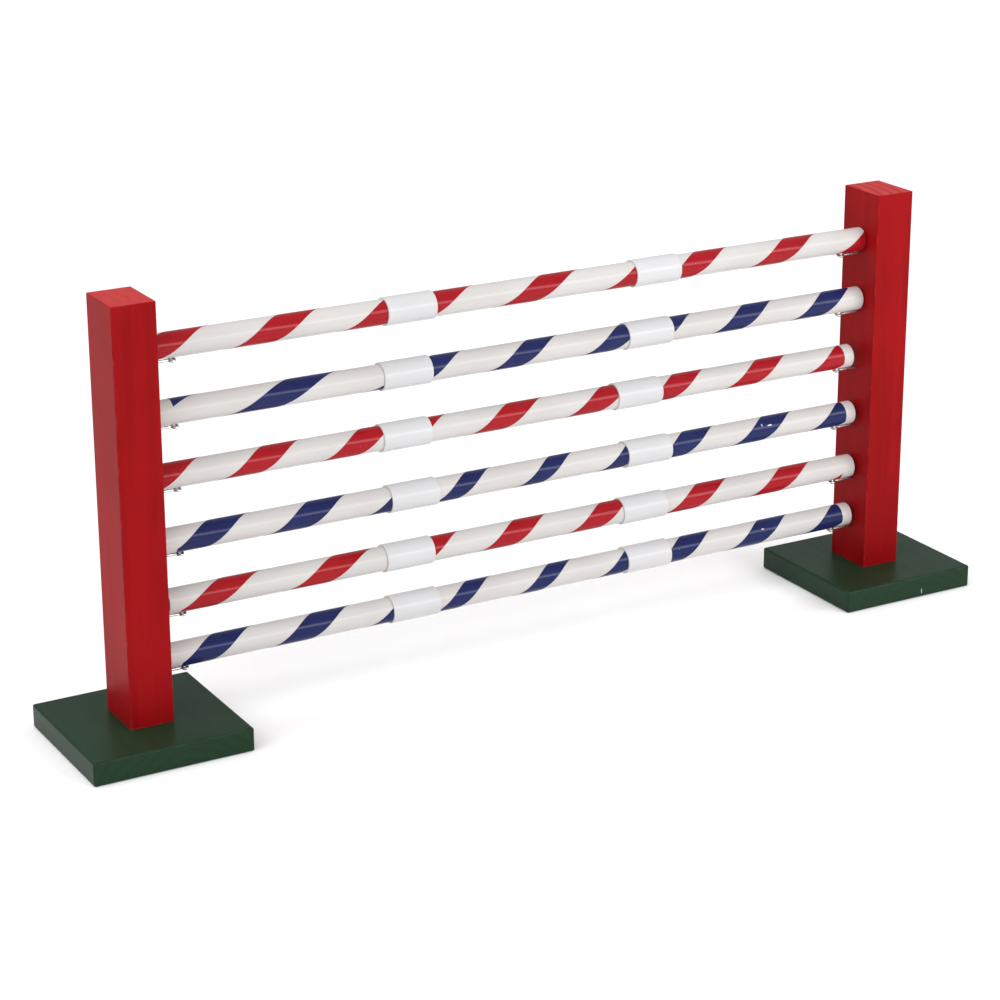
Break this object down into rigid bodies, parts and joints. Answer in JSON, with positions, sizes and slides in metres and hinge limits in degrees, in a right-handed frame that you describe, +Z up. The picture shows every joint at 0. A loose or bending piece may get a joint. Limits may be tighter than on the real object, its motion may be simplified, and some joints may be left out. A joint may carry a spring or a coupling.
{
  "type": "agility hurdle",
  "caption": "Low jump for a rabbit or small dog: two painted wooden posts on square bases, with striped sectional tubes laid between them on screw eyes.",
  "frame": {"origin": "middle of the whole hurdle on the floor, at the bottom centre of its box", "axes": "+X along the bars to the right, +Y to the back, +Z up; the front is -Y"},
  "size_m": [0.7714, 0.12, 0.3315],
  "materials": {
    "post_red_paint": "satin red paint over planed softwood, faint grain",
    "base_green_paint": "satin dark green paint over board, faint grain",
    "tube_red_striped": "gloss white tube with red helical bands",
    "tube_blue_striped": "gloss white tube with navy helical bands",
    "sleeve_white": "plain gloss cool white",
    "eye_nickel": "bright nickel-plated wire",
    "screw_steel": "zinc-plated steel"
  },
  "bodies": {
    "left_stand": {"left_base": "base_green_paint", "left_post": "post_red_paint", "left_base_screws": "screw_steel", "left_eye_1": "eye_nickel", "left_eye_2": "eye_nickel", "left_eye_3": "eye_nickel", "left_eye_4": "eye_nickel", "left_eye_5": "eye_nickel", "left_eye_6": "eye_nickel"},
    "right_stand": {"right_base": "base_green_paint", "right_post": "post_red_paint", "right_base_screws": "screw_steel", "right_eye_1": "eye_nickel", "right_eye_2": "eye_nickel", "right_eye_3": "eye_nickel", "right_eye_4": "eye_nickel", "right_eye_5": "eye_nickel", "right_eye_6": "eye_nickel"},
    "bar_1": {"bar_1_left_tube": "tube_red_striped", "bar_1_middle_tube": "tube_red_striped", "bar_1_right_tube": "tube_red_striped", "bar_1_left_sleeve": "sleeve_white", "bar_1_right_sleeve": "sleeve_white"},
    "bar_2": {"bar_2_left_tube": "tube_blue_striped", "bar_2_middle_tube": "tube_blue_striped", "bar_2_right_tube": "tube_blue_striped", "bar_2_left_sleeve": "sleeve_white", "bar_2_right_sleeve": "sleeve_white"},
    "bar_3": {"bar_3_left_tube": "tube_red_striped", "bar_3_middle_tube": "tube_red_striped", "bar_3_right_tube": "tube_red_striped", "bar_3_left_sleeve": "sleeve_white", "bar_3_right_sleeve": "sleeve_white"},
    "bar_4": {"bar_4_left_tube": "tube_blue_striped", "bar_4_middle_tube": "tube_blue_striped", "bar_4_right_tube": "tube_blue_striped", "bar_4_left_sleeve": "sleeve_white", "bar_4_right_sleeve": "sleeve_white"},
    "bar_5": {"bar_5_left_tube": "tube_red_striped", "bar_5_middle_tube": "tube_red_striped", "bar_5_right_tube": "tube_red_striped", "bar_5_left_sleeve": "sleeve_white", "bar_5_right_sleeve": "sleeve_white"},
    "bar_6": {"bar_6_left_tube": "tube_blue_striped", "bar_6_middle_tube": "tube_blue_striped", "bar_6_right_tube": "tube_blue_striped", "bar_6_left_sleeve": "sleeve_white", "bar_6_right_sleeve": "sleeve_white"}
  },
  "joints": [
    {"name": "right_stand_slide", "type": "slide", "parent": "left_stand", "child": "right_stand", "axis": [1, 0, 0], "range_m": [0, 0.012]},
    {"name": "bar_1_lift", "type": "slide", "parent": "left_stand", "child": "bar_1", "axis": [0, -0.8192, 0.5736], "range_m": [0, 0.12]},
    {"name": "bar_2_lift", "type": "slide", "parent": "left_stand", "child": "bar_2", "axis": [0, -0.8192, 0.5736], "range_m": [0, 0.12]},
    {"name": "bar_3_lift", "type": "slide", "parent": "left_stand", "child": "bar_3", "axis": [0, -0.8192, 0.5736], "range_m": [0, 0.12]},
    {"name": "bar_4_lift", "type": "slide", "parent": "left_stand", "child": "bar_4", "axis": [0, -0.8192, 0.5736], "range_m": [0, 0.12]},
    {"name": "bar_5_lift", "type": "slide", "parent": "left_stand", "child": "bar_5", "axis": [0, -0.8192, 0.5736], "range_m": [0, 0.12]},
    {"name": "bar_6_lift", "type": "slide", "parent": "left_stand", "child": "bar_6", "axis": [0, -0.8192, 0.5736], "range_m": [0, 0.12]}
  ]
}
